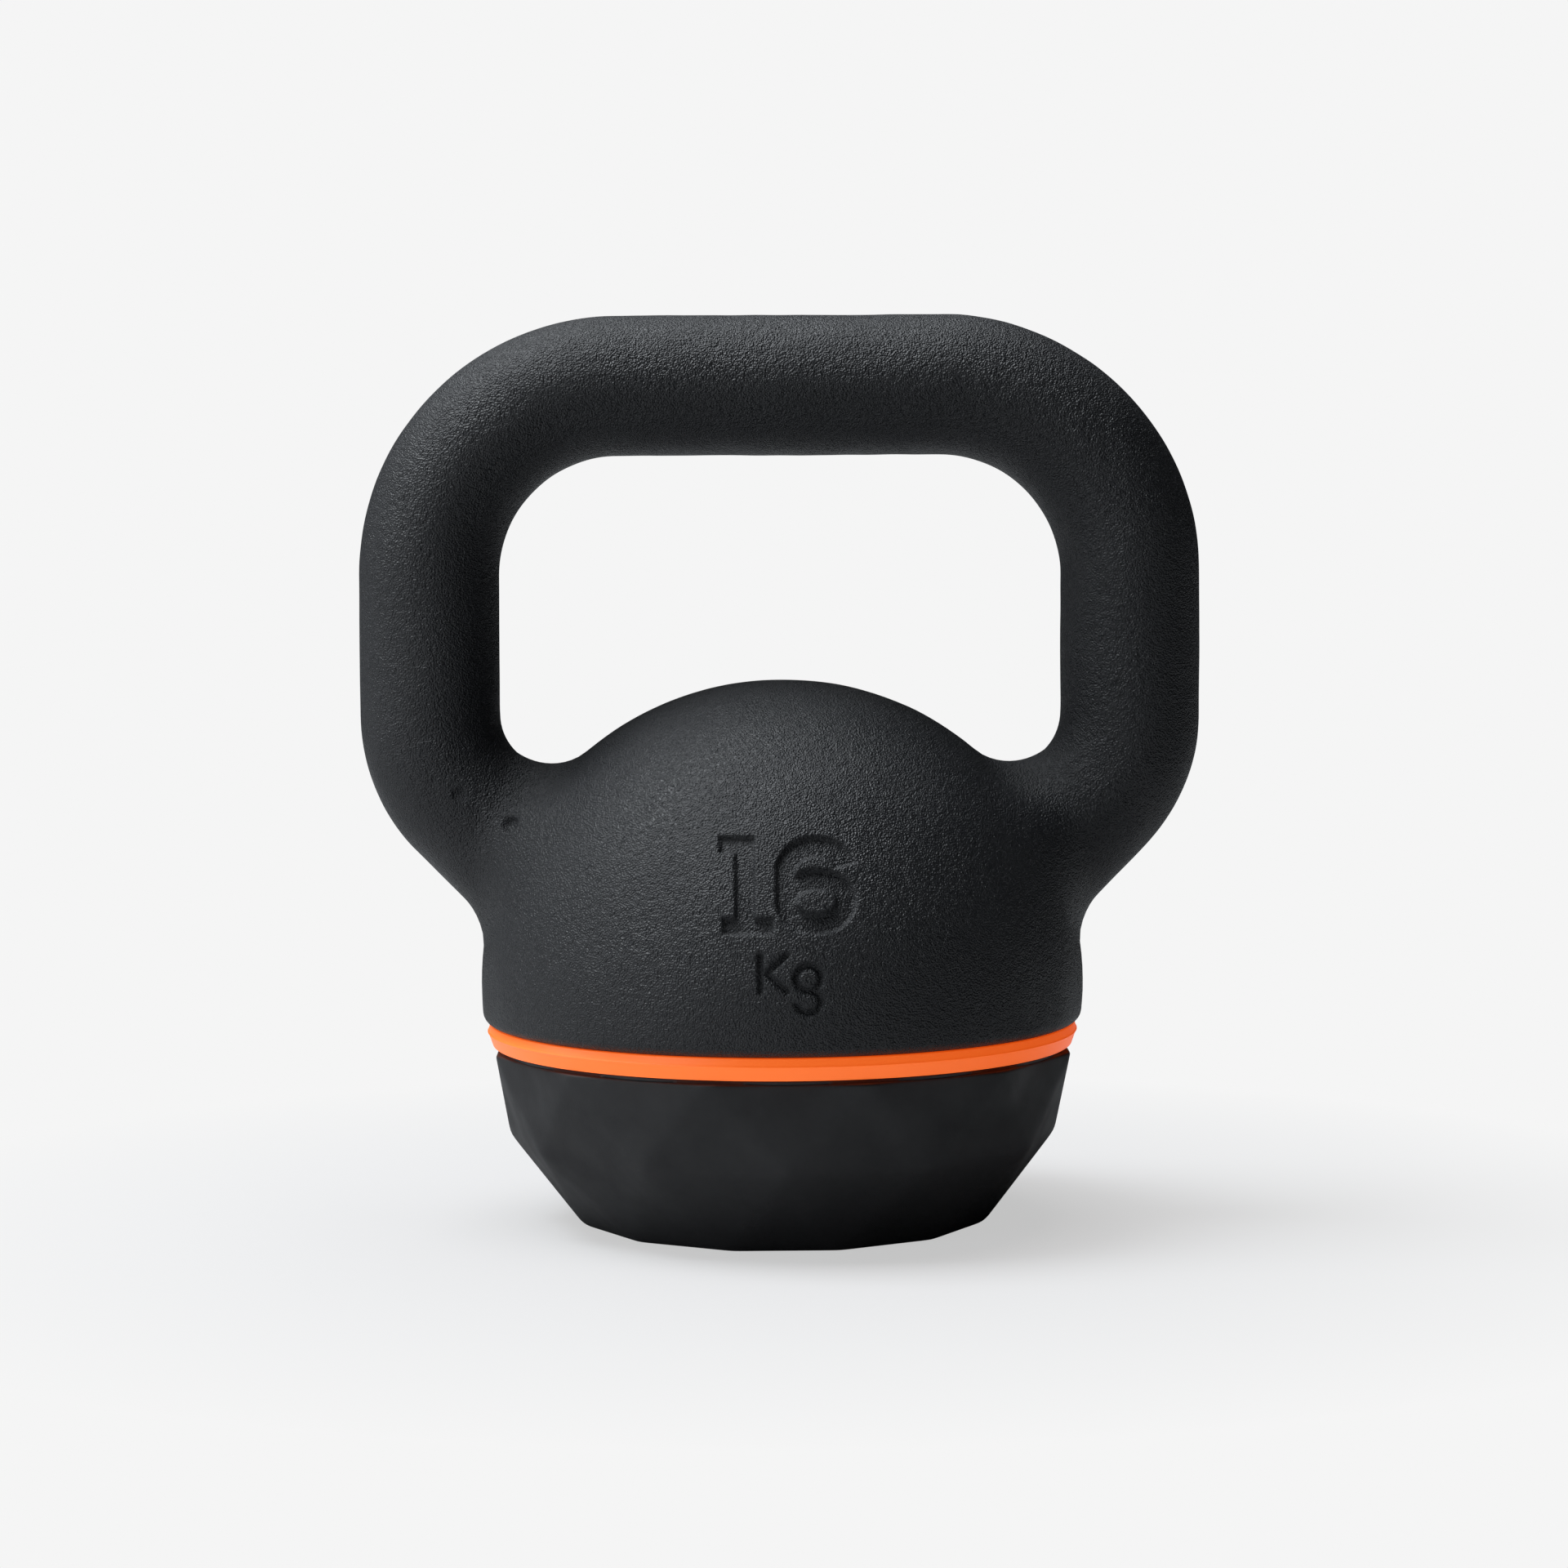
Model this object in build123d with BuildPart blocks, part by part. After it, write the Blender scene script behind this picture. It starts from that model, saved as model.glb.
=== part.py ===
"""Kettlebell: a cast-iron bell with a coloured ring and a faceted rubber base, screwed on from below.

Frame: millimetres, +Z up, +X along the handle bar, -Y towards the weight mark.
The origin is the middle of the underside, where the kettlebell stands on the floor.
"""
from build123d import *
import math
import os

os.makedirs("parts", exist_ok=True)

# ---- driving dimensions, mm -------------------------------------------------

# Ball of the casting
ball_radius = 79.9
ball_centre_z = 63.7
rim_z = 53.2                 # lower edge of the visible casting
rim_round = 3.2              # soft edge where the ball turns under to the ring

# Handle: one round bar bent to a flat-topped loop
bar_radius = 18.4
leg_x = 92.7                 # centreline of each upright leg
bar_top_z = 221.3            # centreline of the grip
grip_corner_radius = 50.2    # centreline, grip to leg
knee_z = 121.3               # where the leg's line meets the shoulder's line
knee_radius = 33.0           # centreline, leg to shoulder
shoulder_slope = 46.0        # degrees below horizontal
shoulder_length = 76.0       # from the knee to the bar's end inside the ball
root_fillet = 14.4           # blend between the bar and the ball

# Spigot: the part of the casting that the ring and the base sit on
spigot_radius = 65.8
spigot_bottom_z = 17.3
spigot_turn = 22.0           # rounding between its side and its underside

# Weight mark, sunk into the front: "16" over "kg"
mark_depth = 1.2
mark_reach = ball_radius + 5.0
numeral_stroke = 4.8
numeral_top_z = 107.6
numeral_bottom_z = 84.2
serif_height = 3.8
flag_width = 8.6             # the serif at the top of the one, to the left of its stem
foot_width = 12.4            # the serif under the one
foot_shift = 0.7
one_x = -10.2
six_x = 7.6
six_radius_x = 7.5           # centrelines of the six's strokes
six_bowl_radius_z = 5.4
six_arm_radius_z = 5.8
six_arm_sweep = 170.0        # degrees from the back of the six over its top
unit_stroke = 1.5
unit_bottom_z = 69.4
unit_top_z = 79.7
kilo_x = -6.5
kilo_arm_start = 1.4
kilo_arm_reach = 6.5
gram_x = 5.4
gram_bowl_z = 73.3
gram_bowl_radius = 3.1
gram_tail_z = 67.6
gram_tail_radius = 2.65
gram_tail_sweep = 240.0      # degrees from the bowl round to the tail's end

# Coloured ring in the joint
ring_bottom_z = 47.4
ring_crease_z = 51.0
ring_crease_radius = 78.2
ring_top_radius = 77.6
ring_bottom_radius = 76.9

# Rubber base: three rings of corners, each turned half a facet from the next
facet_count = 12
lip_radius = 75.4            # round collar that carries the ring
facet_top_z = 46.3
facet_top_radius = 78.1
facet_middle_z = 22.8
facet_middle_radius = 72.8
facet_foot_radius = 54.4

# Fixing under the base
recess_radius = 31.0
recess_depth = 9.5
plate_radius = 30.5
plate_thickness = 2.5
plate_chamfer = 0.5
screw_count = 4
screw_circle_radius = 20.0
first_screw_angle = 45.0
screw_diameter = 6.0
screw_length = 25.0
screw_tip_chamfer = 0.6
tapped_hole_diameter = 6.2
tapped_hole_spare = 2.0
screw_clearance_diameter = 6.6
screw_head_diameter = 10.5
screw_head_height = 3.3
screw_head_round = 1.6
hex_across_flats = 4.0
hex_depth = 2.0
washer_diameter = 11.8
washer_thickness = 1.6
washer_split = 0.8

# ---- worked-out places ------------------------------------------------------

plate_bottom_z = recess_depth - plate_thickness
washer_bottom_z = plate_bottom_z - washer_thickness
screw_head_bottom_z = washer_bottom_z - screw_head_height
screw_tip_z = washer_bottom_z + screw_length
tapped_hole_depth = screw_tip_z - spigot_bottom_z + tapped_hole_spare

rim_angle = math.degrees(math.asin((rim_z - ball_centre_z) / ball_radius))
shoulder_run = shoulder_length * math.cos(math.radians(shoulder_slope))
shoulder_drop = shoulder_length * math.sin(math.radians(shoulder_slope))
facet_step = 360 / facet_count
edge_to_corner = math.cos(math.radians(facet_step / 2))

half_stroke = numeral_stroke / 2
six_bowl_z = numeral_bottom_z + six_bowl_radius_z + half_stroke
six_arm_z = numeral_top_z - six_arm_radius_z - half_stroke
six_back_x = six_x - six_radius_x
unit_middle_z = (unit_bottom_z + unit_top_z) / 2

from_floor = (Align.CENTER, Align.CENTER, Align.MIN)


def facet_plane(edge_radius, edge_z, corner_radius, corner_z, azimuth):
    """Plane through the middle of a level edge and through the corner above or below it."""
    edge_middle = Vector(edge_radius * edge_to_corner, 0, edge_z)
    corner = Vector(corner_radius, 0, corner_z)
    upward = corner - edge_middle if corner_z > edge_z else edge_middle - corner
    outward = Vector(upward.Z, 0, -upward.X)
    return Plane(origin=corner.rotate(Axis.Z, azimuth), z_dir=outward.rotate(Axis.Z, azimuth))


# ---- weight mark: the strokes that are cut from the ball ----------------------

with BuildPart() as weight_mark:
    with BuildSketch(Plane.XZ) as numerals:
        with BuildLine() as one_stem:
            Line((one_x, numeral_bottom_z), (one_x, numeral_top_z))
        trace(line_width=numeral_stroke)
        with Locations((one_x + half_stroke, numeral_top_z)):
            Rectangle(flag_width, serif_height, align=(Align.MAX, Align.MAX))
        with Locations((one_x + foot_shift, numeral_bottom_z)):
            Rectangle(foot_width, serif_height, align=(Align.CENTER, Align.MIN))
        with Locations((six_x, six_bowl_z)):
            Ellipse(six_radius_x + half_stroke, six_bowl_radius_z + half_stroke)
            Ellipse(six_radius_x - half_stroke, six_bowl_radius_z - half_stroke, mode=Mode.SUBTRACT)
        with BuildLine() as six_arm:
            Line((six_back_x, six_bowl_z), (six_back_x, six_arm_z))
            EllipticalCenterArc(
                (six_x, six_arm_z), six_radius_x, six_arm_radius_z, 180, arc_size=-six_arm_sweep
            )
        trace(line_width=numeral_stroke)
    extrude(amount=mark_reach)
    with BuildSketch(Plane.XZ) as unit_letters:
        with BuildLine() as kilo_stem:
            Line((kilo_x, unit_bottom_z), (kilo_x, unit_top_z))
        trace(line_width=unit_stroke)
        with BuildLine() as kilo_arms:
            Polyline(
                (kilo_x + kilo_arm_reach, unit_top_z),
                (kilo_x + kilo_arm_start, unit_middle_z),
                (kilo_x + kilo_arm_reach, unit_bottom_z),
            )
        trace(line_width=unit_stroke)
        with Locations((gram_x, gram_bowl_z)):
            Circle(gram_bowl_radius + unit_stroke / 2)
            Circle(gram_bowl_radius - unit_stroke / 2, mode=Mode.SUBTRACT)
        with BuildLine() as gram_tail:
            CenterArc((gram_x, gram_tail_z), gram_tail_radius, 90, -gram_tail_sweep)
        trace(line_width=unit_stroke)
    extrude(amount=mark_reach)
    with Locations((0, 0, ball_centre_z)):
        Sphere(ball_radius - mark_depth, mode=Mode.SUBTRACT)

# ---- bell casting: ball, spigot and handle in one iron casting ----------------

with BuildPart() as bell_casting:
    with BuildSketch(Plane.YZ) as ball_profile:
        with BuildLine() as ball_outline:
            ball_arc = CenterArc((0, ball_centre_z), ball_radius, rim_angle, 90 - rim_angle)
            Polyline(
                ball_arc @ 1,
                (0, spigot_bottom_z),
                (spigot_radius, spigot_bottom_z),
                (spigot_radius, rim_z),
                ball_arc @ 0,
            )
        make_face()
        fillet(ball_profile.vertices().group_by(Axis.Y)[0].sort_by(Axis.X)[-1], spigot_turn)
        fillet(ball_profile.vertices().sort_by(Axis.X)[-1], rim_round)
    revolve(axis=Axis.Z)
    with BuildLine(Plane.XZ) as handle_path:
        FilletPolyline(
            (-leg_x + shoulder_run, knee_z - shoulder_drop),
            (-leg_x, knee_z),
            (-leg_x, bar_top_z),
            (leg_x, bar_top_z),
            (leg_x, knee_z),
            (leg_x - shoulder_run, knee_z - shoulder_drop),
            radius=[knee_radius, grip_corner_radius, grip_corner_radius, knee_radius],
        )
    with BuildSketch(Plane(origin=handle_path.line @ 0, z_dir=handle_path.line % 0)) as bar_section:
        Circle(bar_radius)
    sweep()
    # The only free-form edges are the two where the bar enters the ball.
    fillet(bell_casting.edges().filter_by(GeomType.BSPLINE), root_fillet)
    add(weight_mark.part, mode=Mode.SUBTRACT)
    with Locations(Plane.XY.offset(spigot_bottom_z).rotated((180, 0, 0))):
        with PolarLocations(screw_circle_radius, screw_count, start_angle=first_screw_angle):
            Hole(tapped_hole_diameter / 2, depth=tapped_hole_depth)
bell_casting.part.label = "bell_casting"

# ---- accent ring: two cones meeting at a crease, filling the joint -------------

with BuildPart() as accent_ring:
    with BuildSketch(Plane.YZ) as ring_profile:
        with BuildLine() as ring_outline:
            Polyline(
                (spigot_radius, ring_bottom_z),
                (ring_bottom_radius, ring_bottom_z),
                (ring_crease_radius, ring_crease_z),
                (ring_top_radius, rim_z),
                (spigot_radius, rim_z),
                close=True,
            )
        make_face()
    revolve(axis=Axis.Z)
accent_ring.part.label = "accent_ring"

# ---- rubber base: faceted cup around the spigot --------------------------------

with BuildPart() as rubber_base:
    Cylinder(facet_top_radius, facet_top_z, align=from_floor)
    for facet in range(facet_count):
        corner_azimuth = facet * facet_step
        between_azimuth = corner_azimuth + facet_step / 2
        top = (facet_top_radius, facet_top_z)
        middle = (facet_middle_radius, facet_middle_z)
        foot = (facet_foot_radius, 0)
        split(bisect_by=facet_plane(*top, *middle, corner_azimuth), keep=Keep.BOTTOM)
        split(bisect_by=facet_plane(*middle, *top, between_azimuth), keep=Keep.BOTTOM)
        split(bisect_by=facet_plane(*middle, *foot, between_azimuth), keep=Keep.BOTTOM)
        split(bisect_by=facet_plane(*foot, *middle, corner_azimuth), keep=Keep.BOTTOM)
    with Locations((0, 0, facet_top_z)):
        Cylinder(lip_radius, ring_bottom_z - facet_top_z, align=from_floor)
    with BuildSketch(Plane.YZ) as socket_profile:
        with Locations((0, spigot_bottom_z)):
            Rectangle(spigot_radius, ring_bottom_z - spigot_bottom_z, align=(Align.MIN, Align.MIN))
        fillet(socket_profile.vertices().group_by(Axis.Y)[0].sort_by(Axis.X)[-1], spigot_turn)
    revolve(axis=Axis.Z, mode=Mode.SUBTRACT)
    Cylinder(recess_radius, recess_depth, align=from_floor, mode=Mode.SUBTRACT)
    with PolarLocations(screw_circle_radius, screw_count, start_angle=first_screw_angle):
        Cylinder(
            screw_clearance_diameter / 2,
            spigot_bottom_z,
            align=from_floor,
            mode=Mode.SUBTRACT,
        )
rubber_base.part.label = "rubber_base"

# ---- retaining plate: steel disc that pulls the base up ------------------------

with BuildPart() as retaining_plate:
    with BuildSketch(Plane.XY.offset(plate_bottom_z)) as plate_outline:
        Circle(plate_radius)
        with PolarLocations(screw_circle_radius, screw_count, start_angle=first_screw_angle):
            Circle(screw_clearance_diameter / 2, mode=Mode.SUBTRACT)
    extrude(amount=plate_thickness)
    chamfer(retaining_plate.faces().sort_by(Axis.Z)[0].outer_wire().edges(), plate_chamfer)
retaining_plate.part.label = "retaining_plate"

# ---- lock washers: split spring rings under the screw heads --------------------

with BuildPart() as lock_washers:
    with BuildSketch(Plane.XY.offset(washer_bottom_z)) as washer_outline:
        with PolarLocations(screw_circle_radius, screw_count, start_angle=first_screw_angle):
            Circle(washer_diameter / 2)
            Circle(screw_clearance_diameter / 2, mode=Mode.SUBTRACT)
            Rectangle(
                washer_diameter / 2,
                washer_split,
                align=(Align.MIN, Align.CENTER),
                mode=Mode.SUBTRACT,
            )
    extrude(amount=washer_thickness)
lock_washers.part.label = "lock_washers"

# ---- base screws: button heads with a hexagon socket, heads down ---------------

with BuildPart() as base_screws:
    with BuildSketch(Plane.XY.offset(screw_head_bottom_z)) as head_outline:
        with PolarLocations(screw_circle_radius, screw_count, start_angle=first_screw_angle):
            Circle(screw_head_diameter / 2)
    extrude(amount=screw_head_height)
    fillet(base_screws.edges().group_by(Axis.Z)[0], screw_head_round)
    with BuildSketch(Plane.XY.offset(washer_bottom_z)) as shank_outline:
        with PolarLocations(screw_circle_radius, screw_count, start_angle=first_screw_angle):
            Circle(screw_diameter / 2)
    extrude(amount=screw_length)
    chamfer(base_screws.edges().group_by(Axis.Z)[-1], screw_tip_chamfer)
    with BuildSketch(Plane.XY.offset(screw_head_bottom_z)) as socket_outline:
        with PolarLocations(screw_circle_radius, screw_count, start_angle=first_screw_angle):
            RegularPolygon(hex_across_flats / 2, 6, major_radius=False)
    extrude(amount=hex_depth, mode=Mode.SUBTRACT)
base_screws.part.label = "base_screws"

# ---- write one STEP for each piece ---------------------------------------------

export_step(bell_casting.part, "parts/bell_casting.step")
export_step(accent_ring.part, "parts/accent_ring.step")
export_step(rubber_base.part, "parts/rubber_base.step")
export_step(retaining_plate.part, "parts/retaining_plate.step")
export_step(lock_washers.part, "parts/lock_washers.step")
export_step(base_screws.part, "parts/base_screws.step")
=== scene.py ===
"""Looks of a cast-iron kettlebell with a coloured ring and a faceted rubber base.

Every length is in metres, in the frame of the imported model: +Z up, +X along the grip, the weight
mark towards -Y, the origin on the floor under the middle of the base.
"""
import math

import bmesh
import bpy
import numpy as np
from bpy.props import FloatProperty, FloatVectorProperty, IntProperty, PointerProperty
from mathutils import Matrix, Vector


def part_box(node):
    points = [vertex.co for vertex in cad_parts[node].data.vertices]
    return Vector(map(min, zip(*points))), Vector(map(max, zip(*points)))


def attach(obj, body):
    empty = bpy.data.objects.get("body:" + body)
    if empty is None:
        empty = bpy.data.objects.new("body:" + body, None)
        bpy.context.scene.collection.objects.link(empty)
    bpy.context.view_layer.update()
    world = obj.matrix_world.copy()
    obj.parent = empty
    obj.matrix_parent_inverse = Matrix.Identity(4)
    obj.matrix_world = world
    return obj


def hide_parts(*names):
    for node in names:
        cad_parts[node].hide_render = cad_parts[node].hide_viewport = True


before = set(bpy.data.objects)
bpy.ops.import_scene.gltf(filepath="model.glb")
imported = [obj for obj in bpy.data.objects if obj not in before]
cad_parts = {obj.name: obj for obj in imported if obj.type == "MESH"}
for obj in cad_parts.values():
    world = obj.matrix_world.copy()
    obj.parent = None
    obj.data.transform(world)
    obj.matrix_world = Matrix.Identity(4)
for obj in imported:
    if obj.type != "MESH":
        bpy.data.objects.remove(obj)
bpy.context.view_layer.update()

bl_info = {
    "name": "Kettlebell",
    "version": (1, 0, 0),
    "blender": (4, 5, 0),
    "location": "3D View > Sidebar > Kettlebell",
    "description": "Builds the casting, ring, rubber base and studio of a kettlebell",
    "category": "Add Mesh",
}

MM = 0.001
TAU = 2 * math.pi

casting_low, casting_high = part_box("bell_casting")
ring_low, ring_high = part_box("accent_ring")
base_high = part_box("rubber_base")[1]


# ---- settings that a user would change ------------------------------------------


def length(name, description, default):
    """A length in metres, as a property with the unit shown."""
    return FloatProperty(name=name, description=description, default=default, unit="LENGTH", precision=4)


def colour(name, description, default):
    """A linear colour, as a property with a colour swatch."""
    return FloatVectorProperty(name=name, description=description, default=default, subtype="COLOR", size=3)


def hex_colour(code):
    """Linear red, green and blue of an sRGB hex colour."""
    srgb = np.array([int(code[i:i + 2], 16) / 255 for i in (1, 3, 5)])
    linear = np.where(srgb <= 0.04045, srgb / 12.92, ((srgb + 0.055) / 1.055) ** 2.4)
    return tuple(float(c) for c in linear)


class BellSettings(bpy.types.PropertyGroup):
    grip_diameter: length("Grip", "Diameter of the round bar", 0.0368)
    ball_height: length("Ball centre", "Height of the ball's centre above the floor", 0.0637)
    corner_radius: length("Corner", "Centreline radius from grip to leg", 0.0502)
    knee_height: length("Knee", "Height where the leg's line meets the shoulder's line", 0.1213)
    knee_radius: length("Knee radius", "Centreline radius from leg to shoulder", 0.0330)
    shoulder_slope: FloatProperty(
        name="Shoulder", description="Slope of the shoulder below level",
        default=math.radians(46), unit="ROTATION",
    )
    root_fillet: length("Root fillet", "Radius of the blend between bar and ball", 0.0144)
    shoulder_blend: length("Shoulder blend", "How much wider that blend gets on the front and back", 0.02)
    rim_round: length("Rim round", "Radius of the ball's lower edge", 0.0032)
    spigot_radius: length("Spigot", "Radius of the spigot that the base sits on", 0.0658)
    spigot_turn: length("Spigot turn", "Radius between the spigot's side and underside", 0.022)
    mark_depth: length("Mark depth", "Depth of the weight mark", 0.0012)
    coat: colour("Coat", "Colour of the powder coat", hex_colour("#1E1F22"))
    around: IntProperty(name="Around the loop", description="Sections round the handle's loop", default=384)
    across: IntProperty(name="Across a section", description="Points round each section", default=192)


class RingSettings(bpy.types.PropertyGroup):
    crease_height: length("Crease", "Height of the ring's crease above the floor", 0.0510)
    crease_radius: length("Crease radius", "Radius at the crease", 0.0782)
    top_radius: length("Top radius", "Radius of the upper edge", 0.0776)
    bottom_radius: length("Bottom radius", "Radius of the lower edge", 0.0769)
    orange: colour("Colour", "Colour of the elastomer", hex_colour("#FF9444"))
    # The ring's painted glow: an emission colour that lights the ring brighter than the lamps on it allow.
    glow: colour("Painted glow", "Colour that the pigment gives back", hex_colour("#FF560A"))


class BaseSettings(bpy.types.PropertyGroup):
    facets: IntProperty(name="Facets", description="Corners in each ring of the base", default=12)
    top_height: length("Top corners", "Height of the top ring of corners", 0.0463)
    top_radius: length("Top radius", "Radius of the top ring of corners", 0.0781)
    middle_height: length("Middle corners", "Height of the middle ring of corners", 0.0228)
    middle_radius: length("Middle radius", "Radius of the middle ring of corners", 0.0728)
    collar_radius: length("Collar", "Radius of the round collar in the groove under the ring", 0.0754)
    foot_radius: length("Foot radius", "Radius of the foot's corners", 0.0544)
    edge_softness: length("Edge softness", "How far a facet's edge is worn back", 0.0003)
    foot_round: length("Foot round", "Width of the rounding under the foot", 0.0022)
    recess_radius: length("Recess", "Radius of the recess under the base", 0.0310)
    recess_depth: length("Recess depth", "Depth of the recess under the base", 0.0095)
    rubber: colour("Rubber", "Colour of the moulded rubber", hex_colour("#232325"))


class StageSettings(bpy.types.PropertyGroup):
    distance: length("Camera distance", "From the kettlebell's axis to the camera", 1.1122)
    height: length("Camera height", "Height of the camera above the floor", 0.1979)
    pitch: FloatProperty(name="Pitch", description="How far the camera looks down",
                         default=math.radians(4.22), unit="ROTATION")
    roll: FloatProperty(name="Roll", description="Tilt of the camera to the right",
                        default=math.radians(0.31), unit="ROTATION")
    swing: FloatProperty(name="Swing", description="Turn of the camera round the kettlebell to the left",
                         default=math.radians(0.88), unit="ROTATION")
    lens: FloatProperty(name="Lens", description="Focal length", default=96.45, unit="CAMERA")
    sideways: length("Sideways", "Shift of the camera to the right of the axis", 0.0008)
    floor: colour("Floor", "Colour of the floor and the background", hex_colour("#F5F5F5"))


# ---- mesh helpers -----------------------------------------------------------------


def add_piece(mesh, material, slot, *nodes):
    """A smooth-shaded object, named as its mesh is, that rides on the root body in place of CAD nodes."""
    mesh.shade_smooth()
    mesh.materials.append(material)
    piece = bpy.data.objects.new(mesh.name, mesh)
    bpy.context.scene.collection.objects.link(piece)
    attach(piece, "root")
    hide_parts(*nodes)
    return piece


def new_mesh(name, vertices, faces):
    """A mesh from arrays of points and a list of faces."""
    mesh = bpy.data.meshes.new(name)
    mesh.from_pydata(vertices.tolist(), [], faces)
    return mesh


def read_vectors(mesh, name):
    """The points' places ("co") or normals ("normal"), a row for each."""
    values = np.empty(len(mesh.vertices) * 3)
    mesh.vertices.foreach_get(name, values)
    return values.reshape(-1, 3)


def strip_faces(rows, columns, wrap_rows):
    """Quads of a grid whose columns close on themselves, and whose rows do too if asked.

    Point (row, column) has the index row * columns + column.
    """
    row = np.arange(rows if wrap_rows else rows - 1)[:, None]
    column = np.arange(columns)[None, :]
    next_row = (row + 1) % rows
    next_column = (column + 1) % columns
    corners = (
        row * columns + column,
        row * columns + next_column,
        next_row * columns + next_column,
        next_row * columns + column,
    )
    return np.stack(corners, axis=-1).reshape(-1, 4)


def fan_faces(first, hub, count):
    """Triangles that join a closed row of count points, numbered from first, to the point hub."""
    turn = np.arange(count)
    return np.stack([first + turn, first + (turn + 1) % count, np.full(count, hub)], axis=-1)


def revolved(radii, heights, azimuths):
    """Points of a surface of revolution: radius and height down the rows, azimuth along the columns.

    radii is one number for each row, or a row of numbers where the section isn't round.
    """
    radii = np.asarray(radii, float)
    if radii.ndim == 1:
        radii = radii[:, None]
    radii = np.broadcast_to(radii, (radii.shape[0], len(azimuths)))
    heights = np.broadcast_to(np.asarray(heights, float)[:, None], radii.shape)
    return np.stack([radii * np.cos(azimuths), radii * np.sin(azimuths), heights], axis=-1)


def closed_lathe(radii, heights, azimuths):
    """Vertices and faces of a revolved surface whose first and last rows close on the axis.

    The rows run from the axis, round the outside and back to the axis; a fan of triangles joins each
    end row to one point on the axis.
    """
    grid = revolved(radii, heights, azimuths)
    rows, columns = grid.shape[:2]
    first = [[0, 0, grid[0, 0, 2]]]
    last = [[0, 0, grid[-1, 0, 2]]]
    vertices = np.concatenate([grid.reshape(-1, 3), first, last])
    count = rows * columns
    first_fan = fan_faces(0, count, columns)[:, ::-1]
    last_fan = fan_faces(count - columns, count + 1, columns)
    return vertices, strip_faces(rows, columns, False).tolist() + first_fan.tolist() + last_fan.tolist()


def arc(centre, radius, start, end, count):
    """Radii and heights along a circular arc in a section, both ends included. Angles in degrees."""
    angles = np.radians(np.linspace(start, end, count))
    return centre[0] + radius * np.cos(angles), centre[1] + radius * np.sin(angles)


def lattice_noise(points, cell, seed):
    """Smooth noise from -1 to 1: random values on a cubic lattice, eased between its corners.

    A corner's value comes from its whole-number place and the seed, mixed by large odd multipliers.
    """
    scaled = points / cell
    corner = np.floor(scaled).astype(np.int64)
    fraction = scaled - corner
    eased = fraction * fraction * (3 - 2 * fraction)
    total = np.zeros(len(points))
    for dx in (0, 1):
        for dy in (0, 1):
            for dz in (0, 1):
                x, y, z = (corner + (dx, dy, dz)).T
                mixed = (x * 73856093) ^ (y * 19349663) ^ (z * 83492791) ^ (seed * 2654435761)
                mixed = (mixed ^ (mixed >> 13)) * 1274126177 & 0x7FFFFFFF
                value = (mixed ^ (mixed >> 16)) % 65536 / 32767.5 - 1
                weight = (
                    np.where(dx, eased[:, 0], 1 - eased[:, 0])
                    * np.where(dy, eased[:, 1], 1 - eased[:, 1])
                    * np.where(dz, eased[:, 2], 1 - eased[:, 2])
                )
                total += value * weight
    return total


def smooth_step(low, high, value):
    """0 below low, 1 above high, and between them three squares less two cubes of the share passed."""
    t = np.clip((value - low) / (high - low), 0, 1)
    return t * t * (3 - 2 * t)


# ---- shape of the casting -----------------------------------------------------------


class BellShape:
    """The casting's driving sizes, from the frame where it has them and from the settings otherwise."""

    def __init__(self, settings):
        self.bar_radius = settings.grip_diameter / 2
        self.ball_radius = (casting_high.y - casting_low.y) / 2
        self.ball_centre = np.array([0, 0, settings.ball_height])
        self.leg_x = casting_high.x - self.bar_radius
        self.grip_z = casting_high.z - self.bar_radius
        self.corner_radius = settings.corner_radius
        self.knee_radius = settings.knee_radius
        self.knee_turn = math.pi / 2 - settings.shoulder_slope
        self.upright_low = settings.knee_height + self.knee_radius * math.tan(self.knee_turn / 2)
        self.upright_high = self.grip_z - self.corner_radius
        self.root_fillet = settings.root_fillet
        self.shoulder_blend = settings.shoulder_blend
        dome_z = settings.ball_height + self.ball_radius
        self.gap_centre = np.array([0, 0, (dome_z + self.grip_z - self.bar_radius) / 2])
        # The rim's round touches the ball from inside, and the ball is cut where the two meet.
        inner = self.ball_radius - settings.rim_round
        drop = settings.ball_height - (ring_high.z + settings.rim_round)
        self.rim_centre_r = math.sqrt(inner ** 2 - drop ** 2)
        self.rim_start = -math.degrees(math.asin(drop / inner))
        self.cut_z = settings.ball_height - self.ball_radius * drop / inner
        self.cut_radius = math.sqrt(self.ball_radius ** 2 - (settings.ball_height - self.cut_z) ** 2)


def nearest_on_line(x, z, start, end):
    """Nearest point to each (x, z) on a straight stretch of the centreline."""
    run = np.subtract(end, start)
    share = ((x - start[0]) * run[0] + (z - start[1]) * run[1]) / (run @ run)
    share = np.clip(share, 0, 1)
    return start[0] + share * run[0], start[1] + share * run[1]


def nearest_on_arc(x, z, centre, radius, low, high):
    """Nearest point to each (x, z) on an arc of the centreline, between two angles."""
    angle = np.clip(np.arctan2(z - centre[1], x - centre[0]), low, high)
    return centre[0] + radius * np.cos(angle), centre[1] + radius * np.sin(angle)


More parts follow.
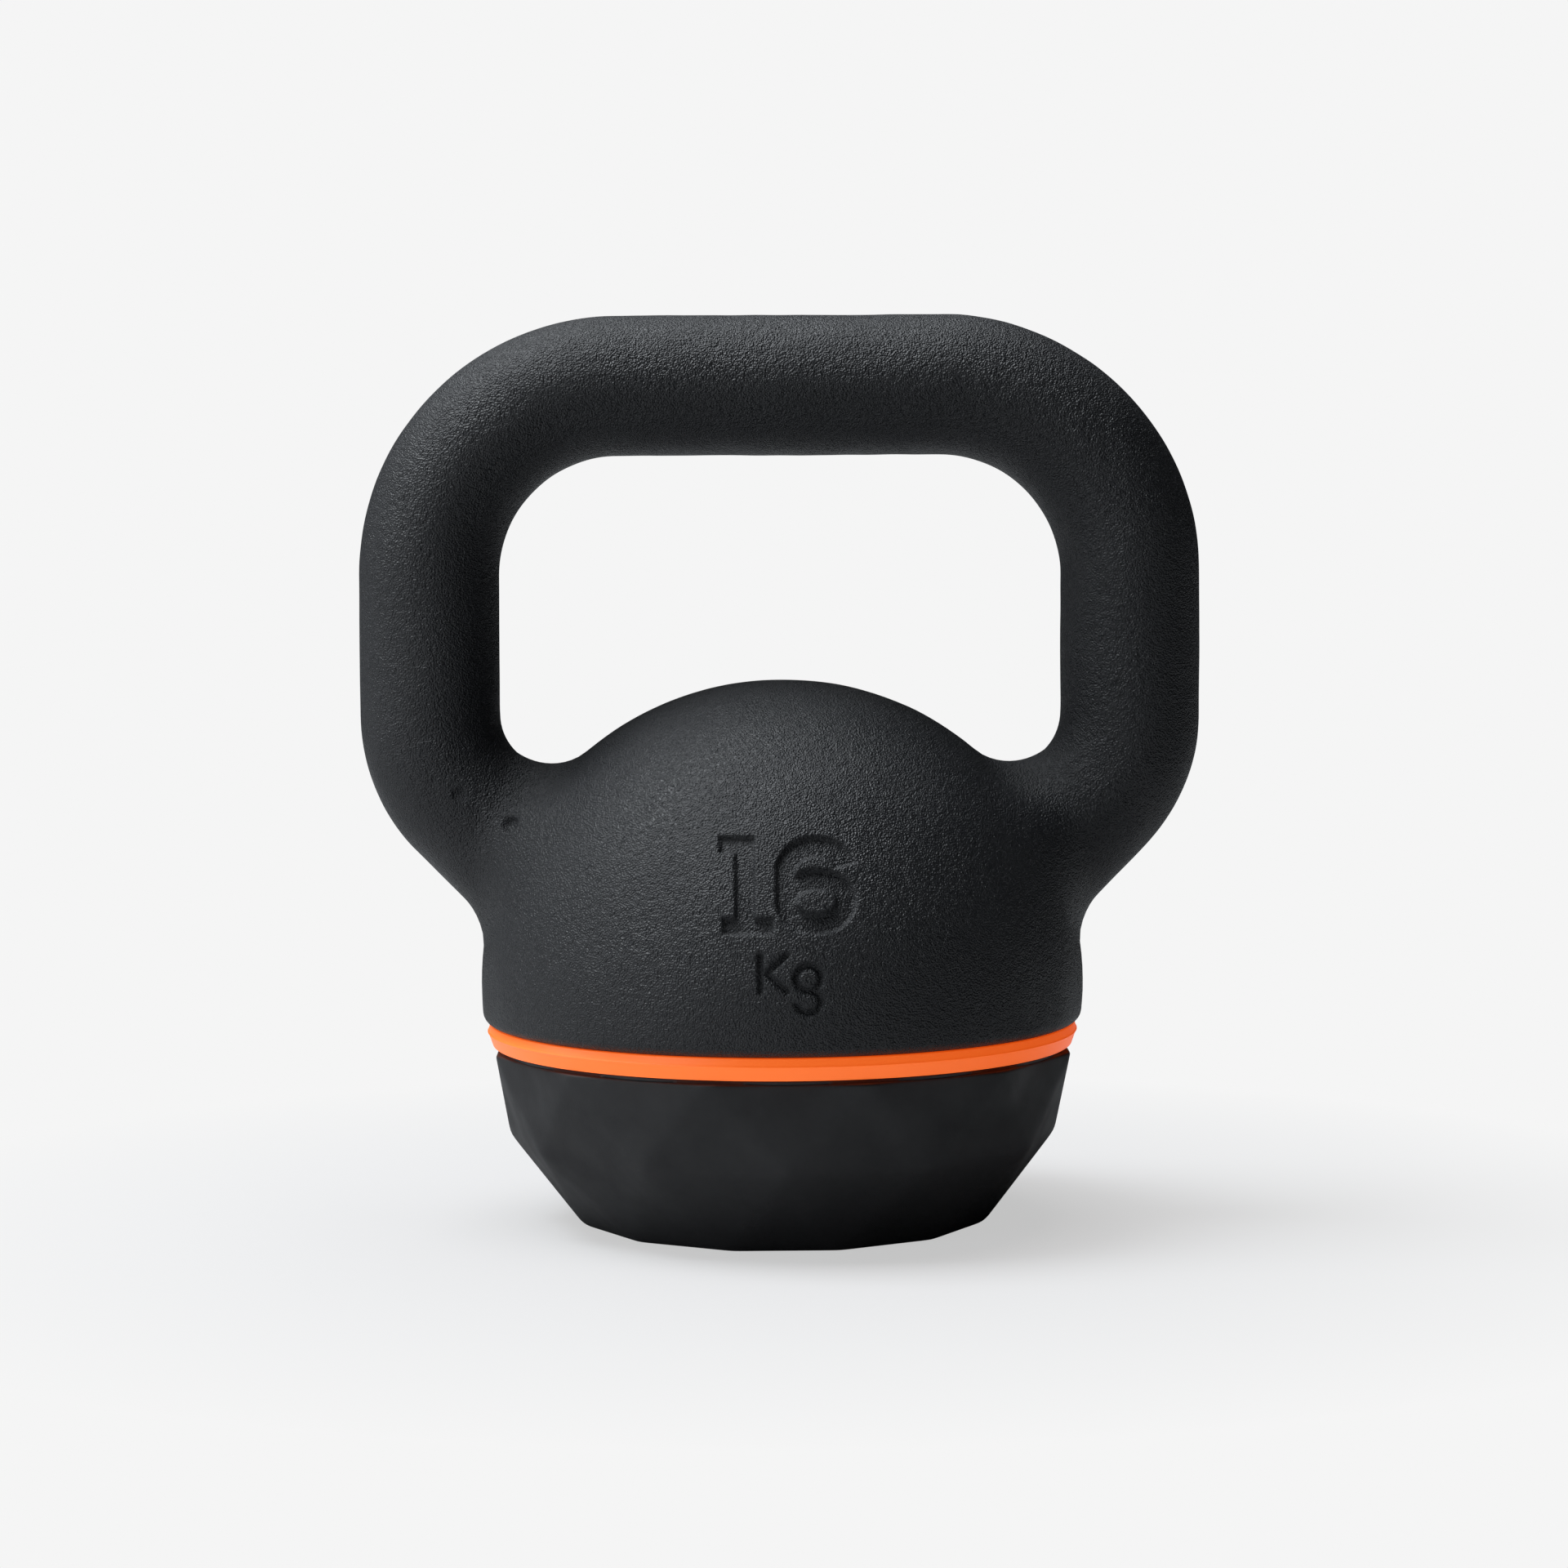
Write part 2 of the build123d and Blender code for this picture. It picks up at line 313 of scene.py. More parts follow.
def from_bar(points, bell):
    """Vector from the nearest point of the bar's centreline to each point.

    The centreline lies at y = 0 and is the same on both sides, so |x| serves for both. It is the grip,
    a corner arc, an upright, a knee arc and a shoulder that runs on inside the ball.
    """
    x = np.abs(points[:, 0])
    z = points[:, 2]
    shoulder_end = 0.75 * bell.ball_radius
    corner = (bell.leg_x - bell.corner_radius, bell.upright_high)
    knee = (bell.leg_x - bell.knee_radius, bell.upright_low)
    knee_end = (
        knee[0] + bell.knee_radius * math.cos(bell.knee_turn),
        knee[1] - bell.knee_radius * math.sin(bell.knee_turn),
    )
    inside = (
        knee_end[0] - shoulder_end * math.sin(bell.knee_turn),
        knee_end[1] - shoulder_end * math.cos(bell.knee_turn),
    )
    candidates = (
        nearest_on_line(x, z, (0, bell.grip_z), (corner[0], bell.grip_z)),
        nearest_on_arc(x, z, corner, bell.corner_radius, 0, math.pi / 2),
        nearest_on_line(x, z, (bell.leg_x, bell.upright_high), (bell.leg_x, bell.upright_low)),
        nearest_on_arc(x, z, knee, bell.knee_radius, -bell.knee_turn, 0),
        nearest_on_line(x, z, knee_end, inside),
    )
    offsets = np.array([(x - near_x, z - near_z) for near_x, near_z in candidates])
    best = np.argmin((offsets ** 2).sum(axis=1), axis=0)
    chosen = offsets[best, :, np.arange(len(points))]
    side = np.where(points[:, 0] < 0, -1, 1)
    return np.stack([chosen[:, 0] * side, points[:, 1], chosen[:, 1]], axis=-1)


def bell_field(points, bell):
    """How far each point is outside the ball and bar, which meet in a round fillet.

    Where both surfaces are nearer than w, the field is w less the length of (w - ball, w - bar).
    w is the fillet's radius times one less the cosine between the two surfaces' normals, which keeps
    the radius the same at every angle that they meet at. The radius widens between 12 and 36 mm in
    front of the bar's centreline or behind it.
    """
    to_ball = points - bell.ball_centre
    to_bar = from_bar(points, bell)
    ball_length = np.linalg.norm(to_ball, axis=1)
    bar_length = np.linalg.norm(to_bar, axis=1)
    cosine = (to_ball * to_bar).sum(axis=1) / np.maximum(ball_length * bar_length, 1e-12)
    front_or_back = smooth_step(12 * MM, 36 * MM, np.abs(points[:, 1]))
    width = (bell.root_fillet + bell.shoulder_blend * front_or_back) * (1 - cosine) + 1e-6
    ball = ball_length - bell.ball_radius
    bar = bar_length - bell.bar_radius
    dip = np.hypot(np.maximum(width - ball, 0), np.maximum(width - bar, 0))
    return np.maximum(width, np.minimum(ball, bar)) - dip


def field_slope(points, bell):
    """Gradient of the field, by central differences a hundredth of a millimetre either side."""
    step = 0.01 * MM
    slope = np.empty_like(points)
    for axis in range(3):
        shift = np.zeros(3)
        shift[axis] = step
        slope[:, axis] = (bell_field(points + shift, bell) - bell_field(points - shift, bell)) / (2 * step)
    return slope


def settle(points, bell):
    """Moves points along the field's slope until they lie on the surface: three Newton steps."""
    for _ in range(3):
        slope = field_slope(points, bell)
        points = points - slope * (bell_field(points, bell) / (slope ** 2).sum(axis=1))[:, None]
    return points


def halve_to_surface(start, direction, reach, bell):
    """Distance from each start, inside the casting, to its surface along direction, by halving.

    reach is a distance for each ray at which it's outside the casting again.
    """
    low = np.zeros(len(start))
    high = reach
    for _ in range(26):
        middle = (low + high) / 2
        inside = bell_field(start + direction * middle[:, None], bell) < 0
        low = np.where(inside, middle, low)
        high = np.where(inside, high, middle)
    return (low + high) / 2


def spread(density, count):
    """count values from 0 to 1, closest together where the density, sampled from 0 to 1, is highest."""
    total = np.concatenate([[0], np.cumsum((density[1:] + density[:-1]) / 2)])
    total /= total[-1]
    return np.interp(np.arange(count) / count, total, np.linspace(0, 1, len(density)))


def loop_sections(bell, count):
    """Angle and middle point of each half-plane that fans out from the hand gap's centre.

    Angle 0 points down at the ball. Along each ray at y = 0 the casting begins and ends where a march
    by the field's own distance stops, from the gap outwards and from outside inwards. The angles are
    then chosen so that the middle points are evenly spaced along the loop.
    """
    angles = np.linspace(0, TAU, 4 * count + 1)
    rays = np.stack([np.sin(angles), np.zeros_like(angles), -np.cos(angles)], axis=-1)
    clear_of_casting = 0.3
    near = np.zeros(len(angles))
    far = np.full(len(angles), clear_of_casting)
    for _ in range(80):
        near += bell_field(bell.gap_centre + rays * near[:, None], bell)
        far -= bell_field(bell.gap_centre + rays * far[:, None], bell)
    middle = (near + far) / 2
    points = rays * middle[:, None]
    steps = np.linalg.norm(np.diff(points, axis=0), axis=1)
    density = np.concatenate([steps[:1], (steps[1:] + steps[:-1]) / 2, steps[-1:]])
    chosen = spread(density, count) * TAU
    return chosen, np.interp(chosen, angles, middle)


def loop_grid(bell, around, across):
    """Grid of points over the ball and handle, which together are one closed ring.

    Each section is a half-plane through the gap's centre line. In it, rays leave the section's middle
    at angle v, 0 pointing away from the gap and 90 degrees towards the front, and stop at the surface,
    which they reach before the gap's centre line. The rays are closest together at the weight mark.
    """
    angles, middles = loop_sections(bell, around)
    v = np.linspace(0, TAU, 721)
    mark_middle = math.radians(112)
    mark_spread = math.radians(25)
    extra = 1.6
    ray_angles = spread(1 + extra * np.exp(-(((v - mark_middle) / mark_spread) ** 2)), across) * TAU
    outward = np.stack([np.sin(angles), np.zeros_like(angles), -np.cos(angles)], axis=-1)
    centres = bell.gap_centre + outward * middles[:, None]
    front = np.array([0, -1, 0])
    rays = (
        np.cos(ray_angles)[None, :, None] * outward[:, None, :]
        + np.sin(ray_angles)[None, :, None] * front
    ).reshape(-1, 3)
    starts = np.repeat(centres, across, axis=0)
    to_gap = np.repeat(middles, across) / np.maximum(-np.tile(np.cos(ray_angles), around), 1e-3)
    longest = 0.16
    reach = halve_to_surface(starts, rays, np.minimum(to_gap, longest), bell)
    return starts + rays * reach[:, None]


# ---- weight mark: "16" over "kg" --------------------------------------------------


def box_distance(x, z, left, right, low, high):
    """Signed distance to a rectangle, negative inside."""
    across = np.maximum(left - x, x - right)
    along = np.maximum(low - z, z - high)
    outside = np.hypot(np.maximum(across, 0), np.maximum(along, 0))
    return outside + np.minimum(np.maximum(across, along), 0)


def ellipse_distance(x, z, centre, radius_x, radius_z):
    """Distance to an ellipse's line, to first order: its implicit value over its slope."""
    u = (x - centre[0]) / radius_x
    w = (z - centre[1]) / radius_z
    level = np.hypot(u, w)
    slope = np.hypot(u / radius_x, w / radius_z) / np.maximum(level, 1e-9)
    return np.abs(level - 1) / np.maximum(slope, 1e-9)


def segment_distance(x, z, start, end):
    """Distance to a straight stroke's line."""
    near_x, near_z = nearest_on_line(x, z, start, end)
    return np.hypot(x - near_x, z - near_z)


def numeral_distance(x, z):
    """Signed distance to the outline of the "16", as strokes 4.8 mm wide. Millimetres.

    The one is a stem with a flag to the left of its top and a serif under it. The six is an oval bowl
    and an upright back, which an elliptical arm carries over the top and down to the right.
    """
    half = 2.4
    low, high = 84.2, 107.6
    serif = 3.8
    flag = 8.6
    half_foot = 6.2
    stem = -10.2
    foot = -9.5
    six = 7.6
    reach = 7.5
    overlap = 1.5
    arm_end_slope = 0.18
    bowl_z = low + 5.4 + half
    arm_z = high - 5.8 - half
    one = np.minimum.reduce([
        box_distance(x, z, stem - half, stem + half, low, high),
        box_distance(x, z, stem + half - flag, stem + half, high - serif, high),
        box_distance(x, z, foot - half_foot, foot + half_foot, low, low + serif),
    ])
    bowl = ellipse_distance(x, z, (six, bowl_z), reach, 5.4) - half
    back = box_distance(x, z, six - reach - half, six - reach + half, bowl_z - overlap, arm_z + overlap)
    arm = ellipse_distance(x, z, (six, arm_z), reach, 5.8) - half
    arm = np.maximum(arm, arm_z + arm_end_slope * np.maximum(x - six, 0) - z)
    return np.minimum.reduce([one, bowl, back, arm])


def unit_distance(x, z):
    """Signed distance to the outline of the "kg", as strokes 1.5 mm wide. Millimetres.

    The tail of the g is an oval under its bowl, open at its upper left quarter.
    """
    half = 0.75
    low, high = 70.1, 79.0
    fork = (-5.1, (low + high) / 2)
    stem = segment_distance(x, z, (-6.5, low), (-6.5, high))
    upper = segment_distance(x, z, fork, (0.0, high))
    lower = segment_distance(x, z, fork, (0.0, low))
    gram_x = 5.4
    bowl = np.abs(np.hypot(x - gram_x, z - 73.3) - 3.1)
    tail_z = 67.6
    tail = ellipse_distance(x, z, (gram_x, tail_z), 3.1, 2.65) - half
    tail = np.maximum(tail, np.minimum(gram_x - x, z - tail_z + 0.3))
    return np.minimum(np.minimum.reduce([stem, upper, lower, bowl]) - half, tail)


def mark_cut(points, depth):
    """Depth of the weight mark at each point: full inside a stroke, with a soft wall at its outline."""
    x = points[:, 0] / MM
    z = points[:, 2] / MM
    numerals = 1 - smooth_step(-0.55, 0.55, numeral_distance(x, z))
    unit = 1 - smooth_step(-0.65, 0.35, unit_distance(x, z))
    front = points[:, 1] < 0
    return depth * np.maximum(numerals, unit) * front


# ---- casting flaws ---------------------------------------------------------------


def front_point(x, z, bell):
    """Point of the casting's front at x and z, in millimetres, found by marching back from the front."""
    point = np.array([[x * MM, -0.12, z * MM]])
    for _ in range(60):
        point[0, 1] += bell_field(point, bell)[0]
    return point[0]


def dent(points, centre, radius, depth, sharpness):
    """A round hollow: deepest in its middle, with a wall that is steeper the higher the sharpness."""
    distance = np.linalg.norm(points - centre, axis=1) / (radius * MM)
    return depth * MM * np.exp(-(distance ** sharpness))


def casting_flaws(points, bell):
    """Depth of the two blow marks that the mould left on the left shoulder.

    Each has its place across and up, radius and depth in millimetres, and the sharpness of its wall.
    """
    blow_marks = (
        (-71.0, 107.4, 2.2, 1.4, 6),
        (-84.1, 114.8, 1.9, 0.5, 5),
    )
    total = np.zeros(len(points))
    for x, z, radius, depth, sharpness in blow_marks:
        total += dent(points, front_point(x, z, bell), radius, depth, sharpness)
    return total


# ---- materials -----------------------------------------------------------------------


def add_node(tree, kind, settings=None, **links):
    """Adds a shader node, sets its attributes and inputs from settings, and links sockets to inputs.

    A link's name is the input's, with _ for a space, or i and the input's number.
    """
    node = tree.nodes.new("ShaderNode" + kind)
    for key, value in (settings or {}).items():
        if isinstance(key, str) and hasattr(node, key):
            setattr(node, key, value)
        else:
            node.inputs[key].default_value = value
    for key, socket in links.items():
        name = key.replace("_", " ")
        tree.links.new(socket, node.inputs[int(key[1:]) if key[0] == "i" and key[1:].isdigit() else name])
    return node


def new_material(name, base_colour, **principled):
    """A material with its Principled shader set up, its tree, and the object coordinates' socket."""
    material = bpy.data.materials.new(name)
    material.use_nodes = True
    tree = material.node_tree
    shader = tree.nodes["Principled BSDF"]
    shader.inputs["Base Color"].default_value = (*base_colour, 1)
    for key, value in principled.items():
        shader.inputs[key.replace("_", " ")].default_value = value
    place = add_node(tree, "TexCoord").outputs["Object"]
    return material, tree, shader, place


def powder_coated_iron(settings):
    """Sand-cast iron under black powder coat.

    The mould's sand leaves a pebbled skin with 1.7 mm bumps, and the coat bakes over it with a finer
    peel of 0.4 mm, so the satin sheen breaks up into speckle. The sheen changes over patches of 18 mm.
    """
    material, tree, shader, place = new_material("powder_coated_iron", settings.coat, IOR=1.5)
    pebbles = add_node(tree, "TexNoise", {"Scale": 1 / (1.7 * MM), "Detail": 1.0}, Vector=place)
    peel = add_node(tree, "TexNoise", {"Scale": 1 / (0.42 * MM), "Detail": 0.0}, Vector=place)
    patches = add_node(tree, "TexNoise", {"Scale": 1 / (18 * MM), "Detail": 4.0}, Vector=place)
    peeled = add_node(tree, "Bump", {"Strength": 1.0, "Distance": 0.45 * MM}, Height=peel.outputs["Fac"])
    pebbled = add_node(
        tree, "Bump", {"Strength": 1.0, "Distance": 0.35 * MM},
        Height=pebbles.outputs["Fac"], Normal=peeled.outputs["Normal"],
    )
    tree.links.new(pebbled.outputs["Normal"], shader.inputs["Normal"])
    roughness = add_node(
        tree, "MapRange", {"From Min": 0.3, "From Max": 0.7, "To Min": 0.42, "To Max": 0.56},
        Value=patches.outputs["Fac"],
    )
    tree.links.new(roughness.outputs["Result"], shader.inputs["Roughness"])
    return material


def moulded_elastomer(settings):
    """Injection-moulded elastomer with a painted orange glow: an emission that lights it brighter than the
    lamps on it allow.

    The skin is satin, with a faint 1.2 mm grain.
    """
    # The emission set below is a painted glow that lights the ring brighter than the lamps on it allow.
    material, tree, shader, place = new_material(
        "moulded_elastomer", settings.orange, IOR=1.5, Roughness=0.38,
        Emission_Color=(*settings.glow, 1), Emission_Strength=0.6,
    )
    grain = add_node(tree, "TexNoise", {"Scale": 1 / (1.2 * MM), "Detail": 2.0}, Vector=place)
    bump = add_node(tree, "Bump", {"Strength": 0.4, "Distance": 0.05 * MM}, Height=grain.outputs["Fac"])
    tree.links.new(bump.outputs["Normal"], shader.inputs["Normal"])
    return material


def moulded_rubber(settings):
    """Compression-moulded black rubber: dull, with a 0.5 mm grain and a bloom in patches of 14 mm."""
    material, tree, shader, place = new_material("moulded_rubber", settings.rubber, IOR=1.5)
    grain = add_node(tree, "TexNoise", {"Scale": 1 / (0.5 * MM), "Detail": 3.0}, Vector=place)
    bloom = add_node(tree, "TexNoise", {"Scale": 1 / (14 * MM), "Detail": 5.0}, Vector=place)
    bump = add_node(tree, "Bump", {"Strength": 0.5, "Distance": 0.08 * MM}, Height=grain.outputs["Fac"])
    tree.links.new(bump.outputs["Normal"], shader.inputs["Normal"])
    roughness = add_node(
        tree, "MapRange", {"From Min": 0.3, "From Max": 0.7, "To Min": 0.55, "To Max": 0.75},
        Value=bloom.outputs["Fac"],
    )
    tree.links.new(roughness.outputs["Result"], shader.inputs["Roughness"])
    return material


def zinc_plated_steel(name, roughness):
    """Bright zinc on rolled steel: a metal with a faint 0.8 mm mottle in its sheen and surface."""
    material, tree, shader, place = new_material(name, hex_colour("#B9BCC0"), Metallic=1.0)
    mottle = add_node(tree, "TexNoise", {"Scale": 1 / (0.8 * MM), "Detail": 4.0}, Vector=place)
    bump = add_node(tree, "Bump", {"Strength": 0.3, "Distance": 0.03 * MM}, Height=mottle.outputs["Fac"])
    tree.links.new(bump.outputs["Normal"], shader.inputs["Normal"])
    sheen = add_node(
        tree, "MapRange", {"From Min": 0.3, "From Max": 0.7, "To Min": roughness, "To Max": roughness + 0.15},
        Value=mottle.outputs["Fac"],
    )
    tree.links.new(sheen.outputs["Result"], shader.inputs["Roughness"])
    return material


# ---- pieces ------------------------------------------------------------------------


def has_fine_detail(centre):
    """Whether a face of the front lies near the weight mark or a blow mark, so needs a finer mesh."""
    # left, right, low and high in millimetres
    windows = ((-21, 21, 61, 111), (-76, -66, 102, 113), (-89, -79, 110, 120))
    return centre.y < 0 and any(
        left * MM < centre.x < right * MM and low * MM < centre.z < high * MM
        for left, right, low, high in windows
    )


class KETTLEBELL_OT_bell(bpy.types.Operator):
    """Builds the iron casting: ball, handle, spigot and the sunk weight mark"""
    bl_idname = "kettlebell.bell"
    bl_label = "Bell casting"

    def execute(self, context):
        settings = context.scene.kettlebell_bell
        bell = BellShape(settings)
        mesh, azimuths = self.ball_and_handle(settings, bell)
        self.join_underside(mesh, self.underside(settings, bell, azimuths))
        self.add_relief(mesh, settings, bell)
        add_piece(mesh, powder_coated_iron(settings), "bell", "bell_casting")
        return {"FINISHED"}

    @staticmethod
    def ball_and_handle(settings, bell):
        """Mesh of the ball and handle, cut level at the rim, and the azimuths of the points on the cut."""
        grid = loop_grid(bell, settings.around, settings.across)
        mesh = new_mesh("bell", grid, strip_faces(settings.around, settings.across, True).tolist())
        work = bmesh.new()
        work.from_mesh(mesh)
        everything = work.verts[:] + work.edges[:] + work.faces[:]
        cut = (0, 0, bell.cut_z)
        bmesh.ops.bisect_plane(
            work, geom=everything, dist=1e-7, plane_co=cut, plane_no=(0, 0, 1), clear_inner=True
        )
        detailed = [f for f in work.faces if has_fine_detail(f.calc_center_median())]
        edges = list({e for f in detailed for e in f.edges})
        bmesh.ops.subdivide_edges(work, edges=edges, cuts=2, use_grid_fill=True)
        work.to_mesh(mesh)
        work.free()

        points = read_vectors(mesh, "co")
        on_cut = np.abs(points[:, 2] - bell.cut_z) < 0.002 * MM
        points[~on_cut] = settle(points[~on_cut], bell)
        azimuths = np.arctan2(points[on_cut, 1], points[on_cut, 0])
        points[on_cut] = revolved([bell.cut_radius], [bell.cut_z], azimuths)[0]
        mesh.vertices.foreach_set("co", points.ravel())
        return mesh, np.sort(azimuths)

    @staticmethod
    def underside(settings, bell, azimuths):
        """Mesh of the rim's round, the flat inside it, the spigot, and the turn to the spigot's underside."""
        turn = settings.spigot_turn
        side_r = settings.spigot_radius
        foot_z = casting_low.z
        rim_centre = (bell.rim_centre_r, ring_high.z + settings.rim_round)
        rim_r, rim_h = arc(rim_centre, settings.rim_round, bell.rim_start, -90, 7)
        turn_r, turn_h = arc((side_r - turn, foot_z + turn), turn, 0, -90, 8)
        radii = np.concatenate([rim_r, [side_r], turn_r])
        heights = np.concatenate([rim_h, [ring_high.z], turn_h])
        grid = revolved(radii, heights, azimuths)
        rows, columns = grid.shape[:2]
        count = rows * columns
        vertices = np.concatenate([grid.reshape(-1, 3), [[0, 0, foot_z]]])
        sides = strip_faces(rows, columns, False)[:, ::-1]
        fan = fan_faces(count - columns, count, columns)[:, ::-1]
        return new_mesh("bell_underside", vertices, sides.tolist() + fan.tolist())

    @staticmethod
    def join_underside(mesh, underside):
        """Adds the underside to the mesh, merges the two along the cut and points every face outwards."""
        work = bmesh.new()
        work.from_mesh(mesh)
        work.from_mesh(underside)
        bmesh.ops.remove_doubles(work, verts=work.verts[:], dist=0.001 * MM)
        bmesh.ops.recalc_face_normals(work, faces=work.faces[:])
        work.to_mesh(mesh)
        work.free()
        mesh.update()

    @staticmethod
    def add_relief(mesh, settings, bell):
        """Moves each point along its normal by the casting's low lumps, less its flaws and the mark.

        The lumps and flaws fade out over the last 4 mm above the cut.
        """
        points = read_vectors(mesh, "co")
        normals = read_vectors(mesh, "normal")
        above_rim = smooth_step(bell.cut_z, bell.cut_z + 4 * MM, points[:, 2])
        lumps = 0.16 * lattice_noise(points, 17 * MM, 3) + 0.06 * lattice_noise(points, 6 * MM, 5)
        raised = (lumps * MM - casting_flaws(points, bell)) * above_rim
        raised -= mark_cut(points, settings.mark_depth)
        points += normals * raised[:, None]
        mesh.vertices.foreach_set("co", points.ravel())
        mesh.update()


class KETTLEBELL_OT_ring(bpy.types.Operator):
    """Builds the coloured ring: two cones that meet in a crease, with a fine moulding line along it"""
    bl_idname = "kettlebell.ring"
    bl_label = "Accent ring"

    def execute(self, context):
        settings = context.scene.kettlebell_ring
        inner = context.scene.kettlebell_bell.spigot_radius
        low, high = ring_low.z, ring_high.z
        edge = 0.35 * MM
        line_height = 0.16 * MM
        line_width = 0.22 * MM
        heights = np.linspace(low + edge, high - edge, 41)
        crease = settings.crease_height
        radii = np.interp(
            heights, [low, crease, high],
            [settings.bottom_radius, settings.crease_radius, settings.top_radius],
        )
        radii += line_height * np.exp(-(((heights - crease) / line_width) ** 2))
        lower_r, lower_h = arc((radii[0] - edge, low + edge), edge, -90, 0, 5)
        upper_r, upper_h = arc((radii[-1] - edge, high - edge), edge, 0, 90, 5)
        loop_r = np.concatenate([[inner], lower_r, radii[1:-1], upper_r, [inner]])
        loop_h = np.concatenate([[low], lower_h, heights[1:-1], upper_h, [high]])
        azimuths = np.linspace(0, TAU, 720, endpoint=False)
        grid = revolved(loop_r, loop_h, azimuths)
        faces = strip_faces(*grid.shape[:2], True).tolist()
        mesh = new_mesh("ring", grid.reshape(-1, 3), faces)
        add_piece(mesh, moulded_elastomer(settings), "ring", "accent_ring")
        return {"FINISHED"}


class KETTLEBELL_OT_base(bpy.types.Operator):
    """Builds the faceted rubber cup, with its collar, socket and the recess under it"""
    bl_idname = "kettlebell.base"
    bl_label = "Rubber base"

    @staticmethod
    def facet_radius(settings, azimuths, heights):
        """Radius of the faceted wall at each height (rows) and azimuth (columns).

        Each facet is a plane through a level edge's middle and a corner above or below it. Along a
        ray from the axis the nearest plane wins, and a soft minimum rounds the edge between two: the
        softness times minus the logarithm of the sum of exp(-reach / softness).
        """
        typical = 0.06
        half_step = math.pi / settings.facets
        flat = math.cos(half_step)
        top = (settings.top_radius, settings.top_height)
        middle = (settings.middle_radius, settings.middle_height)
        foot = (settings.foot_radius, 0.0)
        # (radius, height) at the lower and upper end of each facet's middle line, and its first azimuth
        rows = (
            (middle, (top[0] * flat, top[1]), 0.0),
            ((middle[0] * flat, middle[1]), top, half_step),
            (foot, (middle[0] * flat, middle[1]), half_step),
            ((foot[0] * flat, foot[1]), middle, 0.0),
        )
        softness = settings.edge_softness
        total = 0
        for (low_r, low_z), (high_r, high_z), first in rows:
            line = low_r + (heights - low_z) * (high_r - low_r) / (high_z - low_z)
            for turn in range(settings.facets):
                facing = np.cos(azimuths - first - turn * 2 * half_step)
                reach = line[:, None] / np.maximum(facing, 0.5)[None, :]
                total = total + np.exp(-(reach - typical) / softness)
        return typical - softness * np.log(total)

    @staticmethod
    def bend_shares(share):
        """Weights of the start, the corner and the end, part of the way along a quadratic Bezier bend."""
        return (1 - share) ** 2, 2 * share * (1 - share), share ** 2

    def execute(self, context):
        settings = context.scene.kettlebell_base
        bell = context.scene.kettlebell_bell
        steps = 24
        azimuths = np.linspace(0, TAU, 2 * settings.facets * steps, endpoint=False)
        foot_soft = settings.foot_round
        top_soft = 0.8 * MM
        top_z = settings.top_height
        wall = np.concatenate([
            np.linspace(foot_soft, settings.middle_height, steps + 1)[:-1],
            np.linspace(settings.middle_height, top_z - top_soft, steps + 1),
        ])
        wall_r = self.facet_radius(settings, azimuths, wall)
        foot_r = self.facet_radius(settings, azimuths, np.zeros(1))[0]
        top_r = self.facet_radius(settings, azimuths, np.array([top_z]))[0]
        rows_r = []
        rows_h = []

        def add_row(radius, height):
            rows_r.append(np.broadcast_to(radius, azimuths.shape))
            rows_h.append(height)

        recess = settings.recess_radius
        add_row(recess, settings.recess_depth)
        add_row(recess, 0.6 * MM)
        add_row(recess + 0.2 * MM, 0.2 * MM)
        add_row(recess + 0.6 * MM, 0)
        for share in np.linspace(0, 1, 8)[:-1]:
            start, bend, end = self.bend_shares(share)
            add_row(start * (foot_r - foot_soft) + bend * foot_r + end * wall_r[0], end * foot_soft)
        for radius, height in zip(wall_r, wall):
            add_row(radius, height)
        for share in np.linspace(0, 1, 5)[1:]:
            start, bend, end = self.bend_shares(share)
            add_row(start * wall_r[-1] + bend * top_r + end * (top_r - top_soft), top_z - start * top_soft)
        collar = settings.collar_radius
        collar_top = base_high.z
        collar_edge = 0.3 * MM
        add_row(collar, top_z)
        add_row(collar, collar_top - collar_edge)
        add_row(collar - collar_edge, collar_top)
        socket = bell.spigot_radius
        turn = bell.spigot_turn
        add_row(socket, collar_top)
        for radius, height in zip(*arc((socket - turn, casting_low.z + turn), turn, 0, -90, 9)):
            add_row(radius, height)
        vertices, faces = closed_lathe(np.array(rows_r), np.array(rows_h), azimuths)
        mesh = new_mesh("base", vertices, faces)
        add_piece(mesh, moulded_rubber(settings), "base", "rubber_base")
        return {"FINISHED"}


class KETTLEBELL_OT_fixing(bpy.types.Operator):
    """Gives the steel plate, washers and screws under the base their zinc-plated finish"""
    bl_idname = "kettlebell.fixing"
    bl_label = "Base fixing"

    def execute(self, context):
        plated = zinc_plated_steel("zinc_plated_plate", 0.32)
        fastener = zinc_plated_steel("zinc_plated_fastener", 0.25)
        finishes = {"retaining_plate": plated, "lock_washers": fastener, "base_screws": fastener}
        for node, material in finishes.items():
            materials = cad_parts[node].data.materials
            materials.clear()
            materials.append(material)
        return {"FINISHED"}


